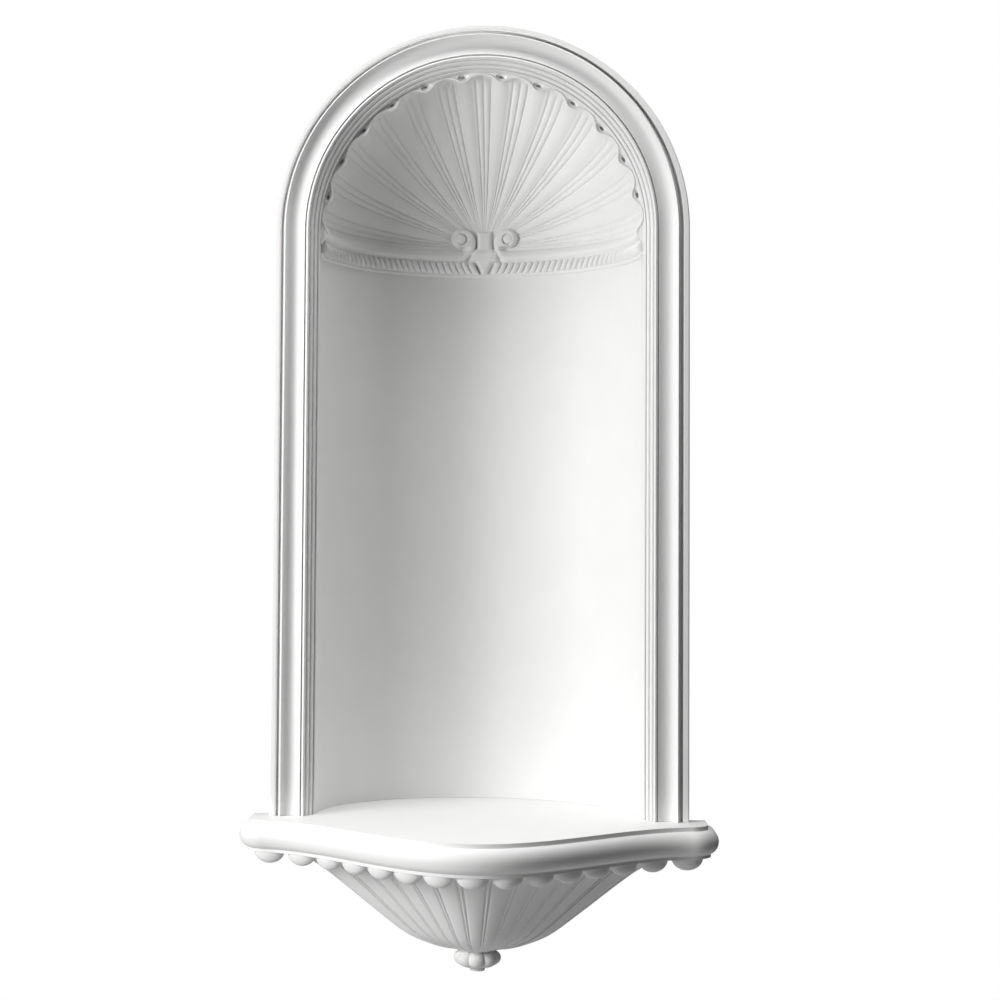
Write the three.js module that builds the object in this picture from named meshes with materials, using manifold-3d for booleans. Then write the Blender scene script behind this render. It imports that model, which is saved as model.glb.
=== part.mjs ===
// A moulded wall niche: an arched architrave around a half-oval recess with a scallop-shell
// hood, standing on a console shelf with a serpentine front, a row of eggs, a fluted bowl and
// a gadrooned pendant. The recess goes into the wall and the rest lies against its face.
//
// Millimetres, +X to the viewer's right, +Y into the wall, +Z up. The wall's face is y = 0.
// The origin is the point on the console's back where it is fixed to the wall.

import * as THREE from "three";
import { mergeVertices } from "three/addons/utils/BufferGeometryUtils.js";
import Module from "manifold-3d";

const wasm = await Module();
wasm.setup();

// Overall places
const FIXING_DROP = 80; // the fixing point below the shelf's top
const SPRINGING_RISE = 848.5; // shelf's top to the arch's springing
const CASTING_GAP = 0.3; // left between the two castings
const CUT_MARGIN = 1; // how far a cutting form runs past what it cuts
const EMBED = 3; // how deep an applied form is sunk in the wall that carries it
const WELD_TOLERANCE = 1e-4; // corners closer than this are one corner
const CURVE_DIVISIONS = 800; // when a curve is measured along its run

// Architrave: width across the face and height out of the wall, from the outer edge inwards
const ARCH_RADIUS = 300;
const EDGE_BEAD_WIDTH = 9;
const EDGE_BEAD_RISE = 27;
const EDGE_BEAD_EASING = 1.5;
const QUIRK_WIDTH = 1.5; // the floor of the narrow groove between the bead and the arris
const QUIRK_RISE = 12;
const ARRIS_INSET = 16;
const ARRIS_RISE = 32;
const COVE_END_RISE = 24.5;
const COVE_DEPTH = 14;
const COVE_PULL = 0.1; // share of its width over which the cove drops from the arris
const COVE_FLOOR_SHARE = 0.5; // share of its width where it is drawn lowest
const COVE_FLOOR_DEPTH = 16.8;
const REEDS = [ // from the cove inwards
  { width: 6, foot: 18, swell: 8 },
  { width: 4.9, foot: 13, swell: 6.5 },
  { width: 5, foot: 7, swell: 6 },
];
const REED_GAP = 0.8; // between the cove and the first reed
const REED_TAIL = 2.8; // slope from the last reed down to the opening
const REED_LAP = 0.6; // how much of that slope the recess's hollow takes away
const ARCH_SEGMENTS = 24;
const REED_STEPS = 3; // along each reed of the section
const COVE_STEPS = 4;

// Recess and its shell
const OPENING_HALF_WIDTH = 237;
const RECESS_DEPTH = 198;
const WALL_THICKNESS = 12;
const SHELL_LAP = 1; // how far the recess's walls reach into the architrave
const WEB_SET_BACK = 7; // the flat web round the shell's lip, behind the wall's face
const WEB_MARGIN = 1; // how far the web runs out past the opening's half width
const RECESS_SEGMENTS = 28;
const OUTSIDE_SEGMENTS = 16; // the recess's hidden outside is plainer

// Shell hood
const LOBE_COUNT = 13;
const RIDGE_HEIGHT = 3;
const RIDGE_SHARE = 0.45; // share of a lobe's width that the ridge takes
const LIP_INSET = 1; // the whole lip stands in from the hood's ground
const LIP_FADE = 20; // degrees of the shell's quarter turn over which that dies out
const TONGUE_REACH = 9.5; // more where each ridge ends at the lip in a rounded tongue
const TONGUE_FADE = 8;
const HINGE_RISE = 14; // where the lobes meet, above the springing
const SHELL_LEVELS = 7;
const LOBE_SAMPLES = [0, 0.14, 0.3, 0.7, 0.86];

// Eyelets sunk in the web, one over each tongue of the lip
const EYELET_RADIUS = 2.8;
const EYELET_DEPTH = 6;
const EYELET_INSET = 3.5; // from the opening's half width in to their centres
const EYELET_SIDES = 6;

// Reeded band at the springing
const BAND_DROP = 9; // from the springing down to the reeds
const BAND_HEIGHT = 20;
const BAND_PROJECTION = 11;
const BAND_GROOVE = 3.4;
const BAND_SWEEP = 9; // how far each reed's foot curves towards the recess's middle
const BAND_START = 17; // from the recess's middle to the first reed's head
const REED_PITCH = 10.3;
const REED_PLACES = [-1, -0.6, 0.6, 1]; // across the half round
const FILLET_HEIGHT = 4.5; // of the soft fillet under the reeds
const FILLET_PROJECTIONS = [2, 4]; // at its foot and at its top
const STRAP_PROFILE = [[-8, 8], [-5, 10.5], [1, 9.5], [8.9, 3]]; // rise, projection
const STRAP_STATIONS = 10;
const BAND_STATIONS = 18;

// Volutes and the web between them
const EYE_OFFSET = 37.8;
const EYE_RISE = 25.6;
const EYE_RADIUS = 7;
const EYE_PROJECTION = 15;
const EYE_SIDES = 10;
const SCROLL_CORE = 11.4; // radius that the scroll's edge closes in on
const SCROLL_SPREAD = 22.2; // more than that where the strap comes in under the eye
const SCROLL_DECAY = 148; // degrees over which the spread dies out
const SCROLL_TURN = 330;
const SCROLL_STEPS = 15;
const SCROLL_RUN = 25; // of strap that is one with the scroll, outwards from the eye
const SCROLL_PROJECTION = 13;
const CHANNEL_WIDTH = 1.7; // the groove round the eye
const CHANNEL_DEPTH = 4;
const CHANNEL_TURNS = [-50, 220];
const CHANNEL_STEPS = 8;
const HINGE_WEB_HALF_WIDTH = 11.8;
const HINGE_WEB_WAIST_RISE = 14; // where its sides start to flare towards the straps
const HINGE_WEB_FOOT_HALF_WIDTH = 24;
const HINGE_WEB_THROAT_HALF_WIDTH = 16.5;
const HINGE_WEB_TIP_HALF_WIDTH = 5;
const HINGE_WEB_RISE = 39;
const HINGE_WEB_PROJECTION = 10.5;

// Console shelf: its plan
const SHELF_HALF_WIDTH = 325;
const SHELF_MEAN_DEPTH = 154;
const SHELF_BOW = 88;
const CORNER_INSET = 25; // from the shelf's end to where its front turns into the corner

// Console shelf: its edge, from the top down
const TOP_FILLET_HEIGHT = 6;
const TORUS_HEIGHT = 34;
const TORUS_PROJECTION = 15;
const TORUS_STEPS = 6;
const UNDER_FILLET_HEIGHT = 4;
const UNDER_FILLET_PROJECTION = 4;
const TONGUE_THICKNESS = 24;

// Eggs under the shelf's edge
const EGG_COUNT = 15;
const EGG_END_GAP = 84.5; // from the middle of the last egg back to the wall
const EGG_GAP = 4.8; // between neighbours
const EGG_HALF_DEPTH = 13;
const EGG_DROP = 17;
const EGG_INSET = 10;
const EGG_SIDES = 8;
const EGG_LEVELS = 5;

// Fluted bowl
const BOWL_HEIGHT = 143;
const BOWL_INSET = 54; // from the shelf's end to the bowl's widest point
const BOWL_SHAPE = [ // share of the height going down, share of the widest half width
  [0, 1], [0.137, 0.856], [0.301, 0.738], [0.61, 0.539], [0.842, 0.38], [0.959, 0.2435], [1, 0.1624],
];
const BOWL_LEVELS = 7;
const FLUTE_COUNT = 15;
const FLUTE_GROOVE = 6;
const FLUTE_SWELL = 3;
const FLUTE_SAMPLES = [0, 0.16, 0.5, 0.84];

// Pendant
const PENDANT_NECK_RADIUS = 29;
const PENDANT_RADIUS = 34;
const PENDANT_HEIGHT = 27;
const PENDANT_LOBES = 8;
const PENDANT_LOBE_DEPTH = 0.13; // share of the radius
const PENDANT_LEVELS = 4;
const PENDANT_LOBE_STEPS = 4;
const PENDANT_SWELL = [0.22, 0.9]; // half turns at which its round side starts and ends
const PENDANT_FULLNESS = 0.6; // 1 is a round side, less is fuller
const BOSS_RADIUS = 12;
const BOSS_HEIGHT = 5;

// Derived places
const shelfTop = FIXING_DROP;
const footLevel = shelfTop + CASTING_GAP;
const springing = shelfTop + SPRINGING_RISE;
const architraveWidth = ARCH_RADIUS - OPENING_HALF_WIDTH + REED_LAP;
const reedsWidth = REEDS.reduce((sum, reed) => sum + reed.width, 0);
const reedsStart = architraveWidth - REED_LAP - REED_TAIL - reedsWidth;
const coveEnd = reedsStart - REED_GAP;
const edgeHeight = TOP_FILLET_HEIGHT + TORUS_HEIGHT + UNDER_FILLET_HEIGHT;
const soffit = shelfTop - edgeHeight;
const bowlFoot = soffit - BOWL_HEIGHT;
const degree = Math.PI / 180;

const plaster = { color: 0xf1f0ec, roughness: 0.62, metalness: 0 };

/** The signed volume of a triangle list, negative where its faces point inwards. */
function signedVolume(vertices, triangles) {
  let six = 0;
  const [a, b, c] = [new THREE.Vector3(), new THREE.Vector3(), new THREE.Vector3()];
  for (let i = 0; i < triangles.length; i += 3) {
    a.fromArray(vertices, 3 * triangles[i]);
    b.fromArray(vertices, 3 * triangles[i + 1]);
    c.fromArray(vertices, 3 * triangles[i + 2]);
    six += a.dot(b.cross(c));
  }
  return six / 6;
}

/** A closed solid from a geometry, with shared vertices merged and its faces turned out. */
function solid(geometry) {
  const bare = geometry.clone();
  bare.deleteAttribute("normal");
  bare.deleteAttribute("uv");
  const merged = mergeVertices(bare, WELD_TOLERANCE);
  const vertProperties = Float32Array.from(merged.attributes.position.array);
  const triangles = [];
  for (let i = 0; i < merged.index.count; i += 3) {
    const [a, b, c] = [0, 1, 2].map((corner) => merged.index.getX(i + corner));
    if (a !== b && b !== c && c !== a) {
      triangles.push(a, b, c);
    }
  }
  if (signedVolume(vertProperties, triangles) < 0) {
    triangles.reverse();
  }
  const triVerts = Uint32Array.from(triangles);
  return new wasm.Manifold(new wasm.Mesh({ numProp: 3, vertProperties, triVerts }));
}

/** The unit normal of a closed planar ring of points. */
function ringNormal(ring) {
  const normal = new THREE.Vector3();
  ring.forEach((point, i) => {
    normal.add(point.clone().cross(ring[(i + 1) % ring.length]));
  });
  return normal.normalize();
}

/** Triangles that close a planar ring, wound with the ring or against it. */
function capTriangles(ring, first, withRing) {
  const normal = ringNormal(ring);
  const side = Math.abs(normal.z) > 0.9 ? new THREE.Vector3(1, 0, 0) : new THREE.Vector3(0, 0, 1);
  const across = side.clone().cross(normal).normalize();
  const flat = ring.map((point) => new THREE.Vector2(point.dot(side), point.dot(across)));
  const faces = THREE.ShapeUtils.triangulateShape(flat, []);
  return faces.flatMap(([a, b, c]) => {
    const turn = ring[b].clone().sub(ring[a]).cross(ring[c].clone().sub(ring[a]));
    const ordered = (turn.dot(normal) > 0) === withRing ? [a, b, c] : [a, c, b];
    return ordered.map((corner) => corner + first);
  });
}

/** A closed body through rings of equal length, capped at each end that has an area. */
function loft(rings, { capEnd = true } = {}) {
  const count = rings[0].length;
  const index = [];
  for (let level = 0; level + 1 < rings.length; level++) {
    for (let i = 0; i < count; i++) {
      const a = level * count + i;
      const b = level * count + (i + 1) % count;
      index.push(a, b, b + count, a, b + count, a + count);
    }
  }
  index.push(...capTriangles(rings[0], 0, false));
  if (capEnd) {
    index.push(...capTriangles(rings.at(-1), (rings.length - 1) * count, true));
  }
  const positions = rings.flat().flatMap((point) => point.toArray());
  const geometry = new THREE.BufferGeometry();
  geometry.setAttribute("position", new THREE.Float32BufferAttribute(positions, 3));
  geometry.setIndex(index);
  return geometry;
}

/** The body that a plan outline fills between two levels. */
function upright(shape, bottom, top, curveSegments) {
  const options = { depth: top - bottom, bevelEnabled: false, curveSegments };
  return new THREE.ExtrudeGeometry(shape, options).translate(0, 0, bottom);
}

/** A body drawn in the upright plane, x across and z up, from its front face to its back. */
function frontal(shape, front, back) {
  const options = { depth: back - front, bevelEnabled: false };
  return new THREE.ExtrudeGeometry(shape, options).rotateX(Math.PI / 2).translate(0, back, 0);
}

/** The architrave's section: x is the inset from the outer edge, y the rise from the wall. */
function architraveSection() {
  const coveWidth = coveEnd - ARRIS_INSET;
  const section = new THREE.Path();
  section.moveTo(0, 0);
  section.lineTo(0, EDGE_BEAD_RISE - EDGE_BEAD_EASING);
  section.lineTo(EDGE_BEAD_EASING, EDGE_BEAD_RISE);
  section.lineTo(EDGE_BEAD_WIDTH - EDGE_BEAD_EASING, EDGE_BEAD_RISE);
  section.lineTo(EDGE_BEAD_WIDTH, EDGE_BEAD_RISE - EDGE_BEAD_EASING);
  section.lineTo(EDGE_BEAD_WIDTH, QUIRK_RISE);
  section.lineTo(EDGE_BEAD_WIDTH + QUIRK_WIDTH, QUIRK_RISE);
  section.lineTo(ARRIS_INSET, ARRIS_RISE);
  section.bezierCurveTo(
    ARRIS_INSET + COVE_PULL * coveWidth, ARRIS_RISE - COVE_DEPTH,
    ARRIS_INSET + COVE_FLOOR_SHARE * coveWidth, ARRIS_RISE - COVE_FLOOR_DEPTH,
    coveEnd, COVE_END_RISE,
  );
  let reedStart = reedsStart;
  for (const { width, foot, swell } of REEDS) {
    section.absellipse(reedStart + width / 2, foot, width / 2, swell, Math.PI, 0, true);
    reedStart += width;
  }
  section.lineTo(architraveWidth, 0);
  const sectionSteps = { LineCurve: 1, EllipseCurve: REED_STEPS, CubicBezierCurve: COVE_STEPS };
  const points = section.curves.flatMap((curve) => (
    curve.getPoints(sectionSteps[curve.type])
  ));
  return points.filter((point, i) => (
    i === 0 || point.distanceTo(points[i - 1]) > WELD_TOLERANCE
  ));
}

/** The architrave: its section carried up one leg, round the arch and down the other. */
function architrave() {
  const section = architraveSection();
  const leg = (side, level) => section.map(({ x, y }) => (
    new THREE.Vector3(side * (ARCH_RADIUS - x), -y, level)
  ));
  const rings = [leg(1, footLevel)];
  for (let step = 0; step <= ARCH_SEGMENTS; step++) {
    const angle = (Math.PI * step) / ARCH_SEGMENTS;
    rings.push(section.map(({ x, y }) => new THREE.Vector3(
      (ARCH_RADIUS - x) * Math.cos(angle), -y, springing + (ARCH_RADIUS - x) * Math.sin(angle),
    )));
  }
  rings.push(leg(-1, footLevel));
  return solid(loft(rings));
}

/** A half-oval plan whose straight front lies a given way out of the wall. */
function halfOval(halfWidth, depth, front) {
  const plan = new THREE.Shape();
  plan.moveTo(-halfWidth, -front);
  plan.lineTo(halfWidth, -front);
  plan.lineTo(halfWidth, 0);
  plan.absellipse(0, 0, halfWidth, depth, 0, Math.PI);
  plan.closePath();
  return plan;
}

/** The plain outside of the recess: an upright half oval under a quarter of an ellipsoid. */
function recessOutside() {
  const halfWidth = OPENING_HALF_WIDTH + WALL_THICKNESS;
  const depth = RECESS_DEPTH + WALL_THICKNESS;
  const plan = halfOval(halfWidth, depth, SHELL_LAP);
  const walls = upright(plan, footLevel, springing, OUTSIDE_SEGMENTS);
  const profile = new THREE.Path();
  profile.moveTo(0, -SHELL_LAP);
  profile.lineTo(halfWidth, -SHELL_LAP);
  profile.lineTo(halfWidth, 0);
  profile.absellipse(0, 0, halfWidth, depth, 0, Math.PI / 2);
  const line = profile.getPoints(OUTSIDE_SEGMENTS / 4);
  const whole = solid(new THREE.LatheGeometry(line, 2 * OUTSIDE_SEGMENTS));
  const reach = 2 * (halfWidth + depth);
  const upperHalf = solid(new THREE.BoxGeometry(reach, reach, reach).translate(0, 0, reach / 2));
  return solid(walls).add(whole.intersect(upperHalf).translate([0, 0, springing]));
}

/** How far the shell's carving stands out of its smooth ground. */
function lobeRelief(lobePlace, turn) {
  const fromRidge = Math.min(lobePlace, 1 - lobePlace);
  const ridge = Math.max(0, 1 - (fromRidge / (RIDGE_SHARE / 2)) ** 2);
  const tongueShape = (1 + Math.cos(2 * Math.PI * lobePlace)) / 2;
  const fade = (span) => Math.exp(-((turn / (span * degree)) ** 2));
  const lip = LIP_INSET * fade(LIP_FADE) + TONGUE_REACH * tongueShape * fade(TONGUE_FADE);
  return RIDGE_HEIGHT * ridge * Math.cos(turn) + lip;
}

/** A point of the ellipsoid that the hood is cut to, moved towards the hollow by a relief. */
function hoodPoint(x, z, relief) {
  const spread = (x * x + z * z) / OPENING_HALF_WIDTH ** 2;
  const ground = new THREE.Vector3(x, RECESS_DEPTH * Math.sqrt(Math.max(0, 1 - spread)), z);
  const outward = new THREE.Vector3(
    x / OPENING_HALF_WIDTH ** 2, ground.y / RECESS_DEPTH ** 2, z / OPENING_HALF_WIDTH ** 2,
  ).normalize();
  return ground.addScaledVector(outward, -relief);
}

/** The rim's angles, from the right springing over to the left, with their lobe places. */
function rimStations() {
  const stations = [];
  for (let lobe = 0; lobe < LOBE_COUNT; lobe++) {
    for (const place of LOBE_SAMPLES) {
      stations.push({ angle: (Math.PI * (lobe + place)) / LOBE_COUNT, place });
    }
  }
  stations.push({ angle: Math.PI, place: 1 });
  return stations;
}

/** The hood's hollow: lobes that run from the scalloped lip to the hinge at the back. */
function hoodHollow() {
  const stations = rimStations();
  const rings = [];
  for (let level = 0; level <= SHELL_LEVELS; level++) {
    const turn = (Math.PI / 2) * (level / SHELL_LEVELS);
    const toHinge = 1 - Math.cos(turn);
    const ring = stations.map(({ angle, place }) => hoodPoint(
      (1 - toHinge) * OPENING_HALF_WIDTH * Math.cos(angle),
      (1 - toHinge) * OPENING_HALF_WIDTH * Math.sin(angle) + toHinge * HINGE_RISE,
      level < SHELL_LEVELS ? lobeRelief(place, turn) : 0,
    ));
    const side = (1 - toHinge) * OPENING_HALF_WIDTH;
    ring.push(hoodPoint(-side, 0, 0).setZ(-CUT_MARGIN), hoodPoint(side, 0, 0).setZ(-CUT_MARGIN));
    rings.push(ring);
  }
  const mouth = rings[0].map((point) => point.clone().setY(-ARRIS_RISE - CUT_MARGIN));
  const hollow = loft([mouth, ...rings], { capEnd: false });
  return solid(hollow.translate(0, 0, springing));
}

/** The recess's hollow below the springing. */
function wallHollow() {
  const plan = halfOval(OPENING_HALF_WIDTH, RECESS_DEPTH, ARRIS_RISE + CUT_MARGIN);
  return solid(upright(plan, footLevel - CUT_MARGIN, springing, RECESS_SEGMENTS));
}

/** The half disc that opens the arch in front of the web, its sides in step with the arch's. */
function archClearance() {
  const radius = OPENING_HALF_WIDTH + WEB_MARGIN;
  const outline = Array.from({ length: ARCH_SEGMENTS + 1 }, (_, step) => {
    const angle = (Math.PI * step) / ARCH_SEGMENTS;
    return new THREE.Vector2(radius * Math.cos(angle), springing + radius * Math.sin(angle));
  });
  return solid(frontal(new THREE.Shape(outline), -ARRIS_RISE - CUT_MARGIN, WEB_SET_BACK));
}

/** The blind eyelets, one in the web over each tongue of the lip but the two at its ends. */
function eyelets() {
  const radius = OPENING_HALF_WIDTH - EYELET_INSET;
  const pins = [];
  for (let tongueIndex = 1; tongueIndex < LOBE_COUNT; tongueIndex++) {
    const angle = (Math.PI * tongueIndex) / LOBE_COUNT;
    const length = EYELET_DEPTH + CUT_MARGIN;
    const pin = new THREE.CylinderGeometry(EYELET_RADIUS, EYELET_RADIUS, length, EYELET_SIDES);
    const middle = WEB_SET_BACK - CUT_MARGIN + length / 2;
    pin.translate(radius * Math.cos(angle), middle, springing + radius * Math.sin(angle));
    pins.push(solid(pin));
  }
  return wasm.Manifold.union(pins);
}

const wallLine = new THREE.EllipseCurve(
  0, 0, OPENING_HALF_WIDTH, RECESS_DEPTH, 0, Math.PI, false, 0,
);
wallLine.arcLengthDivisions = CURVE_DIVISIONS;
const wallLength = wallLine.getLength();

/** A point in front of the recess's wall, by its run from the middle and its projection. */
function onWall(run, projection, level) {
  const share = THREE.MathUtils.clamp(0.5 - run / wallLength, 0, 1);
  const { x, y } = wallLine.getPointAt(share);
  const inward = new THREE.Vector2(-x / OPENING_HALF_WIDTH ** 2, -y / RECESS_DEPTH ** 2);
  inward.normalize().multiplyScalar(projection);
  return new THREE.Vector3(x + inward.x, y + inward.y, level);
}

/** One side's reeds: a half round whose surface rises and falls along its run. */
function reedRun(side) {
  const middle = springing - BAND_DROP - BAND_HEIGHT / 2;
  const steps = 2 * Math.floor((wallLength / 2 - BAND_START) / REED_PITCH);
  const rings = [];
  for (let step = 0; step <= steps; step++) {
    const crest = BAND_PROJECTION - (step % 2 ? 0 : BAND_GROOVE);
    rings.push(REED_PLACES.map((place) => {
      const sweep = BAND_SWEEP * ((1 - place) / 2) ** 2;
      const run = BAND_START + (step * REED_PITCH) / 2 - sweep;
      const projection = Math.abs(place) === 1 ? -EMBED : crest * Math.sqrt(1 - place * place);
      return onWall(side * run, projection, middle + (place * BAND_HEIGHT) / 2);
    }));
  }
  return solid(loft(rings));
}

/** A bar along the wall between two runs; its profile gives rises and projections. */
function wallBar(from, to, profile, stations) {
  const [bottom, top] = [profile[0][0], profile.at(-1)[0]];
  const section = [[bottom, -EMBED], ...profile, [top, -EMBED]];
  const rings = [];
  for (let station = 0; station <= stations; station++) {
    const run = from + ((to - from) * station) / stations;
    rings.push(section.map(([rise, projection]) => onWall(run, projection, springing + rise)));
  }
  return solid(loft(rings));
}

/** A body drawn round one volute's eye and carried back from its front into the wall. */
function onEye(side, points, front, back) {
  const placed = points.map(({ x, y }) => (
    new THREE.Vector2(side * (EYE_OFFSET + x), springing + EYE_RISE + y)
  ));
  return solid(frontal(new THREE.Shape(placed), RECESS_DEPTH - front, RECESS_DEPTH - back));
}

/** A point at a radius from the eye, turned from under it towards the recess's middle. */
function scrollPoint(turned, radius) {
  return new THREE.Vector2(
    -radius * Math.sin(turned * degree), -radius * Math.cos(turned * degree),
  );
}

/** One volute: the strap rolled up in a scroll, the channel round its eye and the eye. */
function volute(side) {
  const [strapFoot] = STRAP_PROFILE[0];
  const [strapHead] = STRAP_PROFILE.at(-1);
  const outline = [new THREE.Vector2(SCROLL_RUN, strapFoot - EYE_RISE)];
  for (let step = 0; step <= SCROLL_STEPS; step++) {
    const turned = (SCROLL_TURN * step) / SCROLL_STEPS;
    const spread = SCROLL_SPREAD * Math.exp(-turned / SCROLL_DECAY);
    outline.push(scrollPoint(turned, SCROLL_CORE + spread));
  }
  outline.push(new THREE.Vector2(SCROLL_RUN, strapHead - EYE_RISE));
  const [first, last] = CHANNEL_TURNS;
  const channelEdge = (radius) => Array.from({ length: CHANNEL_STEPS + 1 }, (_, step) => (
    scrollPoint(first + ((last - first) * step) / CHANNEL_STEPS, radius)
  ));
  const channel = [
    ...channelEdge(EYE_RADIUS), ...channelEdge(EYE_RADIUS + CHANNEL_WIDTH).reverse(),
  ];
  const button = Array.from({ length: EYE_SIDES }, (_, corner) => (
    scrollPoint((360 * corner) / EYE_SIDES, EYE_RADIUS)
  ));
  const cutFront = SCROLL_PROJECTION + CUT_MARGIN;
  return onEye(side, outline, SCROLL_PROJECTION, -EMBED)
    .subtract(onEye(side, channel, cutFront, SCROLL_PROJECTION - CHANNEL_DEPTH))
    .add(onEye(side, button, EYE_PROJECTION, -EMBED));
}

/** The smooth web between the volutes, down to its tip among the reeds. */
function hingeWeb() {
  const [strapFoot] = STRAP_PROFILE[0];
  const sides = [
    [HINGE_WEB_TIP_HALF_WIDTH, -BAND_DROP - BAND_HEIGHT],
    [HINGE_WEB_THROAT_HALF_WIDTH, -BAND_DROP],
    [HINGE_WEB_FOOT_HALF_WIDTH, strapFoot / 2],
    [HINGE_WEB_HALF_WIDTH, HINGE_WEB_WAIST_RISE],
    [HINGE_WEB_HALF_WIDTH, HINGE_WEB_RISE],
  ];
  const right = sides.map(([x, rise]) => new THREE.Vector2(x, springing + rise));
  const left = sides.map(([x, rise]) => new THREE.Vector2(-x, springing + rise)).reverse();
  const front = RECESS_DEPTH - HINGE_WEB_PROJECTION;
  return solid(frontal(new THREE.Shape([...right, ...left]), front, RECESS_DEPTH + EMBED));
}

/** The band, its straps, the volutes and the web between them. */
function springingOrnament() {
  const end = wallLength / 2 - EMBED;
  const bandFoot = -BAND_DROP - BAND_HEIGHT;
  const [filletFoot, filletTop] = FILLET_PROJECTIONS;
  const fillet = [[bandFoot - FILLET_HEIGHT, filletFoot], [bandFoot, filletTop]];
  const forms = [wallBar(-end, end, fillet, BAND_STATIONS), hingeWeb()];
  for (const side of [-1, 1]) {
    forms.push(wallBar(side * EYE_OFFSET, side * end, STRAP_PROFILE, STRAP_STATIONS));
    forms.push(reedRun(side));
    forms.push(volute(side));
  }
  return wasm.Manifold.union(forms);
}

/** The upper casting: architrave, recess, shell hood and springing ornament. */
function nicheBody() {
  const shell = architrave().add(recessOutside()).subtract(archClearance());
  const hollowed = shell.subtract(wallHollow()).subtract(hoodHollow()).subtract(eyelets());
  return hollowed.add(springingOrnament());
}

/** The serpentine front of the shelf, from the middle to its rounded corner. */
class SerpentineFront extends THREE.Curve {
  getPoint(t, target = new THREE.Vector2()) {
    const x = (SHELF_HALF_WIDTH - CORNER_INSET) * t;
    const wave = Math.cos((Math.PI * x) / SHELF_HALF_WIDTH);
    return target.set(x, -(SHELF_MEAN_DEPTH + SHELF_BOW * wave));
  }
}

/** Half of the shelf's plan: the front, the rounded corner and the end back to the wall. */
function halfPlan() {
  const front = new SerpentineFront();
  const corner = front.getPoint(1);
  const heading = front.getTangent(1).angle();
  const radius = CORNER_INSET / (1 - Math.sin(heading));
  const centre = new THREE.Vector2(
    corner.x - radius * Math.sin(heading), corner.y + radius * Math.cos(heading),
  );
  const turn = new THREE.EllipseCurve(
    centre.x, centre.y, radius, radius, heading - Math.PI / 2, 0, false, 0,
  );
  const end = new THREE.LineCurve(
    new THREE.Vector2(SHELF_HALF_WIDTH, centre.y), new THREE.Vector2(SHELF_HALF_WIDTH, 0),
  );
  const plan = new THREE.CurvePath();
  plan.arcLengthDivisions = CURVE_DIVISIONS;
  [front, turn, end].forEach((curve) => plan.add(curve));
  return plan;
}

const shelfPlan = halfPlan();
const shelfRun = shelfPlan.getLength();

/** A point of the shelf's plan and its outward normal, by its run from the middle. */
function planStation(run) {
  const share = Math.min(1, Math.abs(run) / shelfRun);
  const point = shelfPlan.getPointAt(share);
  const along = shelfPlan.getTangentAt(share);
  const side = Math.sign(run) || 1;
  return {
    point: new THREE.Vector2(side * point.x, point.y),
    outward: new THREE.Vector2(side * along.y, -along.x),
  };
}

/** The stations of the plan from the left end to the right, four to a flute. */
function fluteStations() {
  const pitch = (2 * shelfRun) / FLUTE_COUNT;
  const stations = [];
  for (let flute = 0; flute < FLUTE_COUNT; flute++) {
    for (const place of FLUTE_SAMPLES) {
      const run = -shelfRun + (flute + place) * pitch;
      stations.push({ ...planStation(run), place, share: run / shelfRun });
    }
  }
  stations.push({ ...planStation(shelfRun), place: 0, share: 1 });
  return stations;
}

/** A ring of the shelf's edge, moved out of the plan line by an offset. */
function edgeRing(stations, offset, level) {
  return stations.map(({ point, outward, share }) => new THREE.Vector3(
    point.x + outward.x * offset,
    Math.abs(share) === 1 ? 0 : Math.min(0, point.y + outward.y * offset),
    level,
  ));
}

/** The rings of the shelf's edge: top fillet, torus and the small fillet under it. */
function edgeRings(stations) {
  const rings = [edgeRing(stations, 0, shelfTop)];
  const torusMiddle = shelfTop - TOP_FILLET_HEIGHT - TORUS_HEIGHT / 2;
  for (let step = 0; step <= TORUS_STEPS; step++) {
    const angle = Math.PI * (0.5 - step / TORUS_STEPS);
    const least = angle < 0 ? UNDER_FILLET_PROJECTION : 0;
    const offset = Math.max(least, TORUS_PROJECTION * Math.cos(angle));
    rings.push(edgeRing(stations, offset, torusMiddle + (TORUS_HEIGHT / 2) * Math.sin(angle)));
  }
  rings.push(edgeRing(stations, UNDER_FILLET_PROJECTION, soffit));
  return rings;
}

/** The rings of the fluted bowl: the plan drawn in to each half width, grooved and swelled. */
function bowlRings(stations) {
  const line = new THREE.SplineCurve(BOWL_SHAPE.map(([down, across]) => new THREE.Vector2(
    BOWL_HEIGHT * down, (SHELF_HALF_WIDTH - BOWL_INSET) * across,
  )));
  const rings = [];
  for (let level = 0; level <= BOWL_LEVELS; level++) {
    const { x: drop, y: halfWidth } = line.getPoint(level / BOWL_LEVELS);
    const scale = halfWidth / SHELF_HALF_WIDTH;
    rings.push(stations.map(({ point, outward, place, share }) => {
      const carved = place === 0 ? -FLUTE_GROOVE : FLUTE_SWELL * Math.sin(Math.PI * place);
      const offset = Math.abs(share) === 1 ? 0 : carved * scale;
      return new THREE.Vector3(
        point.x * scale + outward.x * offset,
        Math.min(0, point.y * scale + outward.y * offset),
        soffit - drop,
      );
    }));
  }
  return rings;
}

/** A half ring of the pendant about the middle of the wall's face, with its lobes. */
function pendantRing(radius, lobeDepth, level) {
  const steps = (PENDANT_LOBES / 2) * PENDANT_LOBE_STEPS;
  return Array.from({ length: steps + 1 }, (_, step) => {
    const angle = Math.PI * (step / steps - 0.5);
    const lobe = Math.abs(Math.cos((angle * PENDANT_LOBES) / 2));
    const reach = radius * (1 - lobeDepth * (1 - lobe));
    const depth = step % steps === 0 ? 0 : -reach * Math.cos(angle);
    return new THREE.Vector3(reach * Math.sin(angle), depth, level);
  });
}

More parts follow.
